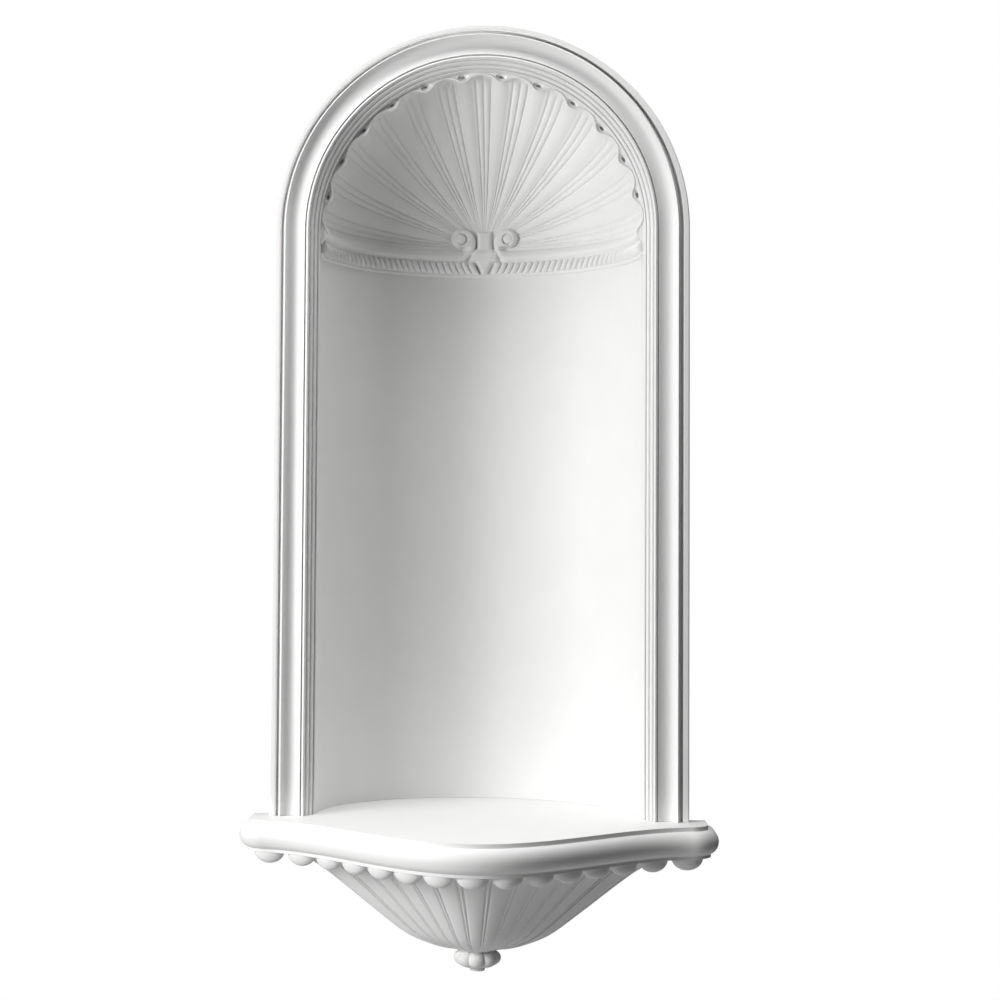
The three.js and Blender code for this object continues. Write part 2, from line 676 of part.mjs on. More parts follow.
/** The pendant: neck, gadrooned knob and boss. */
function pendant() {
  const rings = [pendantRing(PENDANT_NECK_RADIUS, 0, bowlFoot + EMBED)];
  const [first, last] = PENDANT_SWELL;
  for (let level = 0; level <= PENDANT_LEVELS; level++) {
    const swell = Math.PI * THREE.MathUtils.lerp(first, last, level / PENDANT_LEVELS);
    const height = (PENDANT_HEIGHT * (1 - Math.cos(swell))) / 2;
    const radius = PENDANT_RADIUS * Math.sin(swell) ** PENDANT_FULLNESS;
    rings.push(pendantRing(radius, PENDANT_LOBE_DEPTH, bowlFoot - height));
  }
  const bottom = bowlFoot - PENDANT_HEIGHT;
  rings.push(pendantRing(BOSS_RADIUS, 0, bottom));
  rings.push(pendantRing(BOSS_RADIUS, 0, bottom - BOSS_HEIGHT));
  return solid(loft(rings));
}

/** The eggs: ovals that hang under the shelf's edge, at even runs along it. */
function eggs() {
  const reach = (EGG_COUNT - 1) / 2;
  const pitch = (shelfRun - EGG_END_GAP) / reach;
  const halfWidth = (pitch - EGG_GAP) / 2;
  const bodies = [];
  for (let egg = -reach; egg <= reach; egg++) {
    const { point, outward } = planStation(egg * pitch);
    const oval = new THREE.SphereGeometry(1, EGG_SIDES, EGG_LEVELS);
    oval.rotateX(Math.PI / 2).scale(halfWidth, EGG_HALF_DEPTH, EGG_DROP);
    oval.rotateZ(outward.angle() + Math.PI / 2);
    oval.translate(point.x - outward.x * EGG_INSET, point.y - outward.y * EGG_INSET, soffit);
    bodies.push(solid(oval));
  }
  return wasm.Manifold.union(bodies);
}

/** The tongue that carries the recess's wall and makes its floor. */
function tongue() {
  const plan = halfOval(
    OPENING_HALF_WIDTH + WALL_THICKNESS, RECESS_DEPTH + WALL_THICKNESS, CUT_MARGIN,
  );
  return solid(upright(plan, shelfTop - TONGUE_THICKNESS, shelfTop, RECESS_SEGMENTS));
}

/** The lower casting: shelf, tongue, eggs, fluted bowl and pendant. */
function consoleShelf() {
  const stations = fluteStations();
  const body = solid(loft([...edgeRings(stations), ...bowlRings(stations)]));
  return wasm.Manifold.union([body, pendant(), eggs(), tongue()]);
}

/** A named mesh of one casting. */
function casting(name, manifold) {
  const { vertProperties, triVerts } = manifold.getMesh();
  const geometry = new THREE.BufferGeometry();
  geometry.setAttribute("position", new THREE.BufferAttribute(vertProperties, 3));
  geometry.setIndex(new THREE.BufferAttribute(triVerts, 1));
  geometry.computeVertexNormals();
  const mesh = new THREE.Mesh(geometry, new THREE.MeshStandardMaterial(plaster));
  mesh.name = name;
  return mesh;
}

const niche = new THREE.Group();
niche.add(casting("niche_body", nicheBody()));
niche.add(casting("console_shelf", consoleShelf()));

export default niche;
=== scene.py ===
"""A moulded wall niche of primed polyurethane: shell hood, arched architrave, console shelf.

The row frame is used throughout: +X to the viewer's right, +Y into the wall, +Z up, with the
wall's face at y = 0 and the origin at the fixing point on the console's back. Shapes are worked
out in millimetres and handed over in metres. Every casting is one watertight mesh that stands
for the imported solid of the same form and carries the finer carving.
"""

import logging
import math
from collections.abc import Sequence
from dataclasses import dataclass, field
from enum import Enum
from functools import reduce

import bmesh
import bpy
import numpy as np
from mathutils import Matrix, Vector

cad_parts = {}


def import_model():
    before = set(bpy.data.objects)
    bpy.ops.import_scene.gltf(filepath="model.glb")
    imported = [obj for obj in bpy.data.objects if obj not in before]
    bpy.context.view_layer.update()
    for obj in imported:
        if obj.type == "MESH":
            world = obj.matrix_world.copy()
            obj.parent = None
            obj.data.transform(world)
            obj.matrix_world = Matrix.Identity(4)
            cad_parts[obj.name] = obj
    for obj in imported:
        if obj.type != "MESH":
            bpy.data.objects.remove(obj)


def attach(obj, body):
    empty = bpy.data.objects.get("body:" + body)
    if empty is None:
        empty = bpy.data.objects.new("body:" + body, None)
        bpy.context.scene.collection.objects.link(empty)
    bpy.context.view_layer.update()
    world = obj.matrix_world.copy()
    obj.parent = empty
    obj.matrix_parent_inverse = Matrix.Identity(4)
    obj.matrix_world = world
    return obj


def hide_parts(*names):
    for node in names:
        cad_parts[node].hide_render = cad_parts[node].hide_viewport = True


Array = np.ndarray
Turns = tuple[float, float]

log = logging.getLogger("wall_niche")

METRES_PER_MM = 0.001
WELD_DISTANCE_M = 2e-6
SHARP_ANGLE_DEG = 32.0
OUTER_QUARTER: Turns = (180.0, 90.0)
INNER_QUARTER: Turns = (90.0, 0.0)


class Cut(Enum):
    """How a body changes the casting that it is applied to."""

    JOIN = "UNION"
    REMOVE = "DIFFERENCE"


class Side(Enum):
    """The two halves of a mirrored ornament, seen from the front."""

    LEFT = -1
    RIGHT = 1


# Closed bodies from arrays


@dataclass(frozen=True)
class Body:
    """A closed body: corners in millimetres, four-sided faces and the polygons that cap it."""

    corners: Array
    quads: Array
    caps: tuple[Array, ...] = ()

    def volume(self) -> float:
        """The signed volume: a sixth of the sum of corner products over a fan of each face."""
        fans = [self.quads[:, [0, 1, 2]], self.quads[:, [0, 2, 3]]]
        for cap in self.caps:
            first = np.full(len(cap) - 2, cap[0])
            fans.append(np.stack([first, cap[1:-1], cap[2:]], axis=1))
        a, b, c = np.moveaxis(self.corners[np.concatenate(fans)], 1, 0)
        return float(np.einsum("ij,ij->", a, np.cross(b, c))) / 6

    def outward(self) -> "Body":
        """The same body with its faces turned out."""
        if self.volume() >= 0:
            return self
        return Body(self.corners, self.quads[:, ::-1], tuple(cap[::-1] for cap in self.caps))

    def to_object(self, name: str) -> bpy.types.Object:
        """Hands the body over as a welded mesh object in metres.

        Args:
            name: the object's name.

        Returns:
            The new object, linked to the scene.
        """
        body = self.outward()
        faces = body.quads.tolist() + [cap.tolist() for cap in body.caps]
        mesh = bpy.data.meshes.new(name)
        mesh.from_pydata((body.corners * METRES_PER_MM).tolist(), [], faces)
        work = bmesh.new()
        work.from_mesh(mesh)
        bmesh.ops.remove_doubles(work, verts=work.verts, dist=WELD_DISTANCE_M)
        work.to_mesh(mesh)
        work.free()
        made = bpy.data.objects.new(name, mesh)
        bpy.context.scene.collection.objects.link(made)
        return made


def loft(rings: Array) -> Body:
    """A closed body through rings of equal length.

    Args:
        rings: levels x corners x 3, each ring closed on itself.

    Returns:
        The body, capped at both ends.
    """
    levels, count, _ = rings.shape
    level, around = np.meshgrid(np.arange(levels - 1), np.arange(count), indexing="ij")
    following = level + 1
    beside = (around + 1) % count
    quads = np.stack(
        [
            level * count + around,
            level * count + beside,
            following * count + beside,
            following * count + around,
        ],
        axis=-1,
    ).reshape(-1, 4)
    ring = np.arange(count)
    return Body(rings.reshape(-1, 3), quads, (ring[::-1].copy(), (levels - 1) * count + ring))


def merged(bodies: Sequence[Body]) -> Body:
    """Several bodies that stay clear of each other, as one."""
    starts = np.cumsum([0] + [len(body.corners) for body in bodies])
    turned = [body.outward() for body in bodies]
    return Body(
        np.concatenate([body.corners for body in turned]),
        np.concatenate([body.quads + start for body, start in zip(turned, starts)]),
        tuple(cap + start for body, start in zip(turned, starts) for cap in body.caps),
    )


def extruded(outline: Array, low: float, high: float, axis: int = 2) -> Body:
    """A flat outline carried straight from one level to another along an axis.

    Args:
        outline: n x 2, the other two coordinates in their order.
        low: the first level along the axis.
        high: the last level along the axis.
        axis: 1 for a body drawn in the upright plane, 2 for one drawn in plan.

    Returns:
        The capped body.
    """
    flat = [np.insert(outline, axis, level, axis=1) for level in (low, high)]
    return loft(np.stack(flat))


def smooth_step(values: Array, start: float, end: float) -> Array:
    """Rises from 0 at start to 1 at end with level ends: 3 s squared less 2 s cubed."""
    share = np.clip((values - start) / (end - start), 0, 1)
    return share * share * (3 - 2 * share)


@dataclass
class Casting:
    """One moulding, joined and cut from closed bodies into a single watertight mesh."""

    name: str
    parts: list[tuple[Cut, Body]] = field(default_factory=list)

    def apply(self, cut: Cut, *bodies: Body) -> None:
        """Queues bodies that are joined to the casting or removed from it."""
        self.parts.extend((cut, body) for body in bodies)

    def cast(self) -> bpy.types.Object:
        """Works every queued body in order and returns the smooth-shaded piece."""
        whole = self.parts[0][1].to_object(self.name)
        tools = []
        for number, (cut, body) in enumerate(self.parts[1:]):
            tool = body.to_object(f"{self.name}_tool_{number}")
            tools.append(tool)
            step = whole.modifiers.new(f"step_{number}", "BOOLEAN")
            step.operation = cut.value
            step.object = tool
            step.solver = "MANIFOLD"
        bpy.context.view_layer.update()
        graph = bpy.context.evaluated_depsgraph_get()
        worked = bpy.data.meshes.new_from_object(whole.evaluated_get(graph))
        whole.modifiers.clear()
        whole.data = worked
        worked.name = self.name
        for tool in tools:
            bpy.data.objects.remove(tool)
        worked.shade_smooth()
        worked.set_sharp_from_angle(angle=math.radians(SHARP_ANGLE_DEG))
        log.info("%s: %d corners, %d faces", self.name, len(worked.vertices), len(worked.polygons))
        return whole


# Sizes shared by both castings


@dataclass(frozen=True)
class Places:
    """Levels and widths, in millimetres, that more than one part is set out from.

    Ornament runs into the casting behind it by the embed, and a cutting body runs past what it
    cuts by the cut margin.
    """

    fixing_drop: float = 80.0
    springing_rise: float = 848.5
    casting_gap: float = 0.3
    cut_margin: float = 1.0
    embed: float = 3.0
    arch_radius: float = 300.0
    opening_half_width: float = 237.0
    recess_depth: float = 198.0
    wall_thickness: float = 12.0
    shell_lap: float = 1.0
    web_set_back: float = 7.0
    web_margin: float = 0.5
    clear_front: float = 33.0

    @property
    def shelf_top(self) -> float:
        """The shelf's top."""
        return self.fixing_drop

    @property
    def foot(self) -> float:
        """The underside of the upper casting."""
        return self.shelf_top + self.casting_gap

    @property
    def springing(self) -> float:
        """Where the arch springs."""
        return self.shelf_top + self.springing_rise

    def half_oval(self, grow: float, front: float, steps: int) -> Array:
        """The recess's plan: a half ellipse into the wall with a straight front.

        Args:
            grow: how far outside the recess's face the plan runs.
            front: how far in front of the wall's face it starts.
            steps: segments round the half ellipse.

        Returns:
            The closed outline, n x 2.
        """
        angle = np.linspace(0, np.pi, steps + 1)
        wide, deep = self.opening_half_width + grow, self.recess_depth + grow
        oval = np.stack([wide * np.cos(angle), deep * np.sin(angle)], axis=1)
        return np.concatenate([[[-wide, -front], [wide, -front]], oval])


PLACES = Places()


# Architrave


@dataclass(frozen=True)
class Architrave:
    """The arched frame: outer bead, quirk, arris, cove and three stepped reeds.

    Pairs are an inset from the outer edge and a rise from the wall. A reed is its width, the
    run to its crest and the crest's rise; the reeds' feet are the rises before, between and
    after them. The tail is a quirk and a fillet that run on to the recess.
    """

    bead_width: float = 9.0
    bead_rise: float = 26.5
    bead_rounding: float = 2.2
    quirk_width: float = 1.5
    quirk_rise: float = 17.0
    arris: tuple[float, float] = (16.3, 31.2)
    cove_end: tuple[float, float] = (43.5, 24.5)
    cove_depth: float = 14.0
    cove_pull: tuple[float, float] = (0.1, 0.5)
    cove_deepen: float = 1.2
    reeds_start: float = 44.3
    reeds: tuple[tuple[float, float, float], ...] = ((6, 4, 26), (4.9, 2.3, 19.5), (5, 2.4, 13))
    reed_feet: tuple[float, ...] = (16, 17.5, 11, 4.5)
    tail: tuple[tuple[float, float], ...] = ((60.9, 4.5), (61.2, 6.8), (63.6, 6.3), (63.6, 0))
    arc_steps: int = 8
    cove_steps: int = 22
    arch_steps: int = 120

    def _arc(self, centre: float, level: float, half: tuple[float, float], turns: Turns) -> Array:
        """Part of an ellipse over a bead, between two turns in degrees from its inner side."""
        angle = np.radians(np.linspace(turns[0], turns[1], self.arc_steps + 1))
        return np.stack([centre + half[0] * np.cos(angle), level + half[1] * np.sin(angle)], axis=1)

    def section(self) -> Array:
        """The section as inset from the outer edge and rise from the wall, n x 2."""
        start, width = self.arris[0], self.cove_end[0] - self.arris[0]
        pull = [start + share * width for share in self.cove_pull]
        low = self.arris[1] - self.cove_depth
        lower = self.arris[1] - self.cove_deepen * self.cove_depth
        hold = np.array([self.arris, (pull[0], low), (pull[1], lower), self.cove_end])
        t = np.linspace(0, 1, self.cove_steps + 1)[:, None]
        weights = np.hstack([(1 - t) ** 3, 3 * t * (1 - t) ** 2, 3 * t * t * (1 - t), t**3])
        ease = self.bead_rounding
        round_off = (ease, ease)
        level = self.bead_rise - ease
        parts = [
            np.array([[0.0, 0.0]]),
            self._arc(ease, level, round_off, OUTER_QUARTER),
            self._arc(self.bead_width - ease, level, round_off, INNER_QUARTER),
            np.array([[self.bead_width, self.quirk_rise]]),
            np.array([[self.bead_width + self.quirk_width, self.quirk_rise]]),
            weights @ hold,
        ]
        inset = self.reeds_start
        feet = zip(self.reed_feet[:-1], self.reed_feet[1:])
        for (wide, to_crest, crest), (foot, next_foot) in zip(self.reeds, feet):
            top = inset + to_crest
            parts.append(self._arc(top, foot, (to_crest, crest - foot), OUTER_QUARTER))
            parts.append(self._arc(top, next_foot, (wide - to_crest, crest - next_foot), INNER_QUARTER))
            inset += wide
        return np.concatenate([*parts, self.tail])

    def body(self) -> Body:
        """The section carried up one leg, round the arch and down the other."""
        section = self.section()
        radius, rise = PLACES.arch_radius - section[:, 0], -section[:, 1]
        angle = np.linspace(0, np.pi, self.arch_steps + 1)[:, None]
        arch = np.stack(
            [
                radius * np.cos(angle),
                np.broadcast_to(rise, (len(angle), len(rise))),
                PLACES.springing + radius * np.sin(angle),
            ],
            axis=-1,
        )
        foot = np.full_like(radius, PLACES.foot)
        right, left = np.stack([radius, rise, foot], 1), np.stack([-radius, rise, foot], 1)
        return loft(np.concatenate([right[None], arch, left[None]]))


# Recess, shell hood, lip and eyelets


@dataclass(frozen=True)
class ShellRecess:
    """The half-oval recess under a scallop shell of lobes that meet at a hinge.

    A level-crowding power above one sets the hood's levels closer together at the lip.
    """

    lobe_count: int = 13
    ridge_height: float = 2.4
    ridge_share: float = 0.40
    lip_inset: float = 1.0
    lip_fade_deg: float = 20.0
    tongue_reach: float = 7.8
    tongue_fullness: float = 1.3
    tongue_fade_deg: float = 6.0
    hinge_rise: float = 14.0
    groove_places: tuple[float, ...] = (0.29, 0.49, 0.69)
    groove_depth: float = 2.3
    groove_share: float = 0.036
    groove_start_deg: tuple[float, float] = (4.0, 12.0)
    groove_end_deg: tuple[float, float] = (62.0, 86.0)
    lip_radius: float = 1.3
    lip_rise: float = 0.4
    eyelet_inset: float = 3.5
    pocket_half: tuple[float, float] = (8.5, 3.9)
    pocket_depth: float = 4.0
    pocket_slope: tuple[tuple[float, float, float], ...] = (
        (1, 0, 0),
        (0.86, 0, 0.45),
        (0.4, 0.5, 0.8),
        (0.225, 0.5, 1),
        (0, 1, 1.1),
    )
    eyelet_half: tuple[float, float] = (3.8, 2.4)
    eyelet_depth: float = 9.0
    eyelet_taper: float = 0.9
    tail_drops: tuple[float, float] = (-2.0, 25.0)
    tail_thickness: float = 9.0
    tail_bevel: float = 1.0
    tail_steps: int = 11
    lip_sides: int = 10
    pocket_sides: int = 24
    level_crowding: float = 1.15
    columns_per_lobe: int = 48
    levels: int = 84
    wall_steps: int = 128
    outside_steps: int = 48

    def relief(self, place: Array, turn: Array) -> Array:
        """How far the carving stands out of the hood's smooth ground.

        Each lobe boundary carries a parabolic ridge that dies with the cosine of the turn. At
        the lip the whole surface stands in, and each ridge ends in a rounded tongue, a raised
        cosine to a power; both fade as a bell over the turn. The lobe's middle carries fine
        bell-shaped grooves that start softly inside the lip and run out before the hinge.

        Args:
            place: 0 to 1 across a lobe.
            turn: 0 at the lip to a quarter turn at the hinge, in radians.

        Returns:
            The relief in millimetres, in the arrays' common shape.
        """
        away = np.minimum(place, 1 - place)
        ridge = np.maximum(0, 1 - (away / (self.ridge_share / 2)) ** 2)
        tongue = (0.5 + 0.5 * np.cos(2 * np.pi * place)) ** self.tongue_fullness
        tongue_fade = np.exp(-((turn / math.radians(self.tongue_fade_deg)) ** 2))
        lip_fade = np.exp(-((turn / math.radians(self.lip_fade_deg)) ** 2))
        lip = self.lip_inset * lip_fade + self.tongue_reach * tongue * tongue_fade
        lines = sum(np.exp(-(((place - at) / self.groove_share) ** 2)) for at in self.groove_places)
        begun = smooth_step(np.degrees(turn), *self.groove_start_deg)
        ended = smooth_step(np.degrees(turn), *self.groove_end_deg)
        carved = self.ridge_height * ridge * np.cos(turn) + lip * (1 - ended)
        return carved - self.groove_depth * lines * begun * (1 - ended)

    def on_hood(self, x: Array, z: Array, relief: Array) -> Array:
        """Points of the ellipsoid that the hood is cut to, moved towards the hollow.

        The ground's depth is the recess depth times the root of one less the squared distance
        over the squared half width; the move is along the ellipsoid's inward normal.
        """
        wide, deep = PLACES.opening_half_width, PLACES.recess_depth
        y = deep * np.sqrt(np.maximum(0, 1 - (x * x + z * z) / wide**2))
        outward = np.stack([x / wide**2, y / deep**2, z / wide**2], axis=-1)
        outward /= np.linalg.norm(outward, axis=-1, keepdims=True)
        return np.stack([x, y, z], axis=-1) - outward * relief[..., None]

    def outside(self) -> tuple[Body, Body]:
        """The plain outside: an upright half oval and a quarter of an ellipsoid above it."""
        walls = PLACES.half_oval(PLACES.wall_thickness, PLACES.shell_lap, self.outside_steps)
        wide = PLACES.opening_half_width + PLACES.wall_thickness
        deep = PLACES.recess_depth + PLACES.wall_thickness
        sweep = np.linspace(0, np.pi, self.outside_steps + 1)[:, None]
        swell = np.linspace(0, np.pi / 2, self.outside_steps // 2 + 1)
        across = np.concatenate([[0.0, wide], wide * np.cos(swell)])
        depth = np.concatenate([[-PLACES.shell_lap, -PLACES.shell_lap], deep * np.sin(swell)])
        hood = np.stack(
            [
                across * np.cos(sweep),
                np.broadcast_to(depth, (len(sweep), len(depth))),
                across * np.sin(sweep) + PLACES.springing,
            ],
            axis=-1,
        )
        top = PLACES.springing + PLACES.cut_margin / 2
        return extruded(walls, PLACES.foot, top), loft(hood)

    def arch_clearance(self) -> Body:
        """The half disc that opens the arch in front of the web."""
        angle = np.linspace(0, np.pi, self.wall_steps + 1)
        radius = PLACES.opening_half_width + PLACES.web_margin
        outline = np.stack([radius * np.cos(angle), radius * np.sin(angle)], axis=1)
        outline[:, 1] += PLACES.springing
        return extruded(outline, -PLACES.clear_front, PLACES.web_set_back, axis=1)

    def wall_hollow(self) -> Body:
        """The recess's hollow below the springing."""
        plan = PLACES.half_oval(0, PLACES.clear_front, self.wall_steps)
        return extruded(plan, PLACES.foot - PLACES.cut_margin, PLACES.springing)

    def hood_hollow(self) -> Body:
        """The hood's hollow: its columns run from the scalloped lip to the hinge."""
        columns = self.lobe_count * self.columns_per_lobe
        share = np.linspace(0, self.lobe_count, columns + 1)
        angle, place = np.pi * share / self.lobe_count, share % 1
        turn = (np.pi / 2) * np.linspace(0, 1, self.levels + 1)[:, None] ** self.level_crowding
        to_hinge = 1 - np.cos(turn)
        wide = (1 - to_hinge) * PLACES.opening_half_width
        x, z = wide * np.cos(angle), wide * np.sin(angle) + to_hinge * self.hinge_rise
        arcs = self.on_hood(x, z, self.relief(place, turn))
        ends = np.concatenate([-wide, wide], axis=1)
        base = self.on_hood(ends, np.zeros_like(ends), np.zeros_like(ends))
        base[..., 2] = -PLACES.cut_margin
        rings = np.concatenate([arcs, base], axis=1)
        mouth = rings[:1].copy()
        mouth[..., 1] = -PLACES.clear_front
        rings = np.concatenate([mouth, rings])
        rings[..., 2] += PLACES.springing
        return loft(rings)

    def lip(self) -> Body:
        """The thin bead that follows the scalloped lip on the web's face."""
        columns = self.lobe_count * self.columns_per_lobe
        share = np.linspace(0, self.lobe_count, columns + 1)
        angle = np.pi * share / self.lobe_count
        radius = PLACES.opening_half_width - self.relief(share % 1, np.zeros_like(share))
        line = np.stack([radius * np.cos(angle), radius * np.sin(angle)], axis=1)
        along = np.gradient(line, axis=0)
        along /= np.linalg.norm(along, axis=1, keepdims=True)
        aside = np.stack([along[:, 1], -along[:, 0]], axis=1)
        around = np.linspace(0, 2 * np.pi, self.lip_sides, endpoint=False)
        offset = self.lip_radius * np.cos(around)
        flat = line[:, None] + aside[:, None] * offset[None, :, None]
        y = PLACES.web_set_back - self.lip_rise + self.lip_radius * np.sin(around)
        depth = np.broadcast_to(y, flat.shape[:2])
        rings = np.stack([flat[..., 0], depth, flat[..., 1] + PLACES.springing], axis=-1)
        return loft(rings)

    def pockets(self) -> Body:
        """The oval dishes in the web over each tongue, each sunk to an eyelet in its middle.

        The slope names each ring's shares of the dish's outline, of the eyelet's outline and
        of the dish's depth.
        """
        radius = PLACES.opening_half_width - self.eyelet_inset
        around = np.linspace(0, 2 * np.pi, self.pocket_sides, endpoint=False)
        oval = np.stack([np.cos(around), np.sin(around)], axis=1)
        dish, hole = oval * self.pocket_half, oval * self.eyelet_half
        sunk = [(dish, -PLACES.cut_margin)]
        for of_dish, of_hole, of_depth in self.pocket_slope:
            sunk.append((dish * of_dish + hole * of_hole, self.pocket_depth * of_depth))
        sunk.append((hole * self.eyelet_taper, self.eyelet_depth))
        bodies = []
        for number in range(self.lobe_count + 1):
            angle = np.pi * number / self.lobe_count
            outward = np.array([np.cos(angle), np.sin(angle)])
            along = np.array([-np.sin(angle), np.cos(angle)])
            rings = []
            for outline, depth in sunk:
                flat = radius * outward + outline[:, :1] * along + outline[:, 1:] * outward
                y = np.full(len(flat), depth + PLACES.web_set_back)
                rings.append(np.stack([flat[:, 0], y, flat[:, 1] + PLACES.springing], axis=1))
            bodies.append(loft(np.stack(rings)))
        return merged(bodies)

    def tails(self) -> tuple[Body, Body]:
        """The web's ends below the last eyelets, tapering into the frame's inner corner."""
        drop = np.linspace(*self.tail_drops, self.tail_steps + 1)
        share = smooth_step(drop, 0, self.tail_drops[1])
        tip = PLACES.opening_half_width - self.lip_inset - self.tongue_reach - self.ridge_height
        inner = tip + (PLACES.opening_half_width - tip) * share
        front, back = PLACES.web_set_back, PLACES.web_set_back + self.tail_thickness
        edge = PLACES.opening_half_width + PLACES.embed
        bodies = []
        for side in Side:
            rings = []
            for z, x in zip(PLACES.springing - drop, inner):
                inner_back = x + self.tail_bevel
                section = np.array([[x, front], [edge, front], [edge, back], [inner_back, back]])
                section[:, 0] *= side.value
                rings.append(np.insert(section, 2, z, axis=1))
            bodies.append(loft(np.stack(rings)))
        return bodies[0], bodies[1]


# Springing: reeded band, straps and volutes


@dataclass(frozen=True)
class SpringingBand:
    """The reeded band at the springing, the fillet under it and the strap above it.

    The fillet's and the strap's pairs are a rise above the springing and a projection from
    the recess's wall.
    """

    drop: float = 9.0
    height: float = 20.0
    projection: float = 11.0
    groove: float = 5.6
    sweep: float = 9.0
    start: float = 17.0
    pitch: float = 10.3
    fillet: tuple[tuple[float, float], ...] = ((-33.5, 1), (-32.5, 3), (-31, 4), (-28, 4))
    strap: tuple[tuple[float, float], ...] = (
        (-15, 2.5),
        (-11, 5.0),
        (-8.8, 6.6),
        (-7.2, 8.6),
        (-5.6, 10.1),
        (-3.5, 10.6),
        (-1, 10.2),
        (2, 8.6),
        (5, 6.4),
        (7.6, 4.2),
        (8.9, 1.5),
    )
    roundness: float = 0.8
    steps_per_reed: int = 10
    across_steps: int = 14
    bar_steps: int = 90
    table_steps: int = 4000

    def wall_table(self) -> tuple[Array, Array]:
        """Runs along the recess's wall from its middle, and the ellipse angles they fall at."""
        angle = np.linspace(0, np.pi / 2, self.table_steps + 1)
        wide, deep = PLACES.opening_half_width, PLACES.recess_depth
        x, y = wide * np.sin(angle), deep * np.cos(angle)
        steps = np.hypot(np.diff(x), np.diff(y))
        return np.concatenate([[0], np.cumsum(steps)]), angle

    def on_wall(self, run: Array, projection: Array, level: Array) -> Array:
        """Points in front of the recess's wall.

        Args:
            run: the distance along the wall from its middle, negative to the left.
            projection: the distance in front of the wall, along its normal.
            level: the level above the row frame's origin.

        Returns:
            The points, with the arrays' common shape and three coordinates.
        """
        runs, angles = self.wall_table()
        angle = np.interp(np.abs(run), runs, angles) * np.sign(run)
        wide, deep = PLACES.opening_half_width, PLACES.recess_depth
        x, y = wide * np.sin(angle), deep * np.cos(angle)
        inward = np.stack([-x / wide**2, -y / deep**2], axis=-1)
        inward /= np.linalg.norm(inward, axis=-1, keepdims=True)
        x, y = x + inward[..., 0] * projection, y + inward[..., 1] * projection
        x, y, level = np.broadcast_arrays(x, y, level)
        return np.stack([x, y, level], axis=-1)

    @property
    def reach(self) -> float:
        """The run from the wall's middle to the band's end."""
        return float(self.wall_table()[0][-1]) - PLACES.embed

    def reeds(self, side: Side) -> Body:
        """One side's half round of reeds whose feet curve towards the recess's middle."""
        count = math.floor((self.reach - self.start) / self.pitch)
        phase = np.linspace(0, count, count * self.steps_per_reed + 1)[:, None]
        turn = np.linspace(-np.pi / 2, np.pi / 2, self.across_steps + 1)[None]
        place = np.sin(turn)
        run = self.start + phase * self.pitch - self.sweep * ((1 - place) / 2) ** 2
        rib = np.sqrt(np.maximum(0, 1 - (2 * (phase % 1) - 1) ** 2))
        depth = (self.projection - self.groove * (1 - rib)) * np.cos(turn) ** self.roundness
        level = PLACES.springing - self.drop + (place - 1) * self.height / 2
        front = self.on_wall(side.value * run, depth, level)
        ends = self.on_wall(side.value * run[:, [-1, 0]], -np.float64(PLACES.embed), level[:, [-1, 0]])
        return loft(np.concatenate([front, ends], axis=1))

    def bar(self, start: float, end: float, profile: Array) -> Body:
        """A bar along the wall between two runs; its profile gives rises and projections."""
        run = np.linspace(start, end, self.bar_steps + 1)[:, None]
        back = [[profile[0, 0], -PLACES.embed], [profile[-1, 0], -PLACES.embed]]
        section = np.concatenate([back[:1], profile, back[1:]])
        return loft(self.on_wall(run, section[:, 1], PLACES.springing + section[:, 0]))

    def fillet_body(self) -> Body:
        """The soft fillet under the reeds, from end to end."""
        return self.bar(-self.reach, self.reach, np.array(self.fillet))

    def straps(self, inner_run: float) -> tuple[Body, Body]:
        """Both straps, from the volutes' feet to the recess's front corners."""
        profile = np.array(self.strap)
        made = [self.bar(side.value * inner_run, side.value * self.reach, profile) for side in Side]
        return made[0], made[1]


